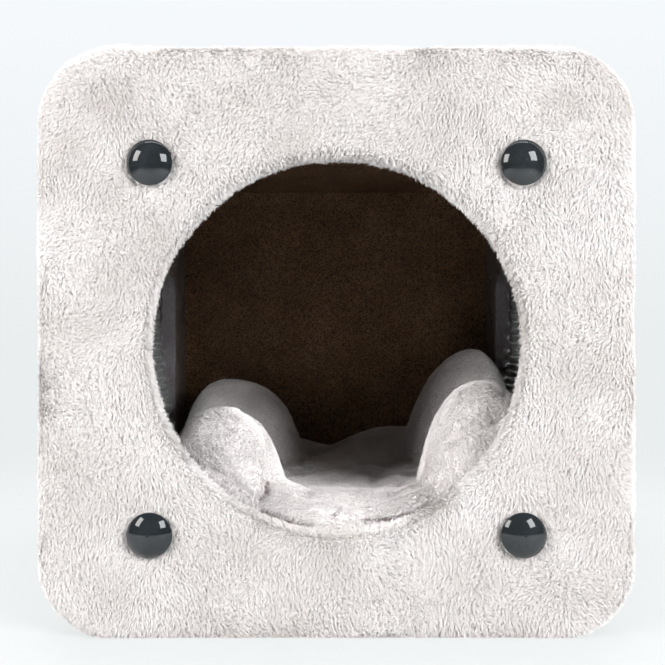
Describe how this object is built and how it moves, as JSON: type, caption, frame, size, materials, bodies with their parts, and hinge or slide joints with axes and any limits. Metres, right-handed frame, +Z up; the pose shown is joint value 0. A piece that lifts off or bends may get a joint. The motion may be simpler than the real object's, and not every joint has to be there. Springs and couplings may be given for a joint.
{
  "type": "cat scratching tunnel",
  "caption": "Plush-covered box tunnel for a cat: round doorway, closed back, sisal rope mats over the side windows and a loose cushion inside.",
  "frame": {"origin": "on the floor under the middle of the tunnel", "axes": "+Z up, -Y out of the doorway, +Y the tunnel's length"},
  "size_m": [0.4062, 0.469, 0.397],
  "materials": {
    "plush": "short light grey plush pile",
    "cushion_plush": "short warm grey plush pile",
    "binding_plush": "short grey plush pile",
    "board": "raw chipboard",
    "hardboard": "raw dark brown hardboard",
    "softwood": "planed softwood",
    "sisal": "rough twisted sisal fibre",
    "black_gloss": "high gloss",
    "black_matte": "moulded satin",
    "zinc": "bright zinc plating",
    "brass": "turned brass"
  },
  "bodies": {
    "tunnel": {"back_board": "hardboard", "body_cover": "plush", "bottom_board": "hardboard", "corner_rail_bottom_left": "softwood", "corner_rail_bottom_right": "softwood", "corner_rail_top_left": "softwood", "corner_rail_top_right": "softwood", "front_board": "board", "front_bolt_bottom_left": "zinc", "front_bolt_bottom_right": "zinc", "front_bolt_top_left": "zinc", "front_bolt_top_right": "zinc", "front_cap_base_bottom_left": "black_matte", "front_cap_base_bottom_right": "black_matte", "front_cap_base_top_left": "black_matte", "front_cap_base_top_right": "black_matte", "front_frame": "hardboard", "front_plush_cover": "plush", "front_tee_nut_bottom_left": "zinc", "front_tee_nut_bottom_right": "zinc", "front_tee_nut_top_left": "zinc", "front_tee_nut_top_right": "zinc", "left_mat_frame": "plush", "left_side_board": "hardboard", "left_sisal_mat": "sisal", "left_window_binding": "binding_plush", "rear_board": "board", "rear_bolt_bottom_left": "zinc", "rear_bolt_bottom_right": "zinc", "rear_bolt_top_left": "zinc", "rear_bolt_top_right": "zinc", "rear_cap_base_bottom_left": "black_matte", "rear_cap_base_bottom_right": "black_matte", "rear_cap_base_top_left": "black_matte", "rear_cap_base_top_right": "black_matte", "rear_insert_bottom_left": "brass", "rear_insert_bottom_right": "brass", "rear_insert_top_left": "brass", "rear_insert_top_right": "brass", "rear_plush_cover": "plush", "right_mat_frame": "plush", "right_side_board": "hardboard", "right_sisal_mat": "sisal", "right_window_binding": "binding_plush", "top_board": "hardboard"},
    "cushion": {"cushion": "cushion_plush"},
    "front_cap_top_left_body": {"front_cap_top_left": "black_gloss"},
    "front_cap_top_right_body": {"front_cap_top_right": "black_gloss"},
    "front_cap_bottom_left_body": {"front_cap_bottom_left": "black_gloss"},
    "front_cap_bottom_right_body": {"front_cap_bottom_right": "black_gloss"},
    "rear_cap_top_left_body": {"rear_cap_top_left": "black_gloss"},
    "rear_cap_top_right_body": {"rear_cap_top_right": "black_gloss"},
    "rear_cap_bottom_left_body": {"rear_cap_bottom_left": "black_gloss"},
    "rear_cap_bottom_right_body": {"rear_cap_bottom_right": "black_gloss"}
  },
  "joints": [
    {"name": "cushion_lift", "type": "slide", "parent": "tunnel", "child": "cushion", "axis": [0, 0, 1], "range_m": [0, 0.08]},
    {"name": "front_cap_top_left_pull", "type": "slide", "parent": "tunnel", "child": "front_cap_top_left_body", "axis": [0, -1, 0], "range_m": [0, 0.012]},
    {"name": "front_cap_top_right_pull", "type": "slide", "parent": "tunnel", "child": "front_cap_top_right_body", "axis": [0, -1, 0], "range_m": [0, 0.012]},
    {"name": "front_cap_bottom_left_pull", "type": "slide", "parent": "tunnel", "child": "front_cap_bottom_left_body", "axis": [0, -1, 0], "range_m": [0, 0.012]},
    {"name": "front_cap_bottom_right_pull", "type": "slide", "parent": "tunnel", "child": "front_cap_bottom_right_body", "axis": [0, -1, 0], "range_m": [0, 0.012]},
    {"name": "rear_cap_top_left_pull", "type": "slide", "parent": "tunnel", "child": "rear_cap_top_left_body", "axis": [0, 1, 0], "range_m": [0, 0.012]},
    {"name": "rear_cap_top_right_pull", "type": "slide", "parent": "tunnel", "child": "rear_cap_top_right_body", "axis": [0, 1, 0], "range_m": [0, 0.012]},
    {"name": "rear_cap_bottom_left_pull", "type": "slide", "parent": "tunnel", "child": "rear_cap_bottom_left_body", "axis": [0, 1, 0], "range_m": [0, 0.012]},
    {"name": "rear_cap_bottom_right_pull", "type": "slide", "parent": "tunnel", "child": "rear_cap_bottom_right_body", "axis": [0, 1, 0], "range_m": [0, 0.012]}
  ]
}
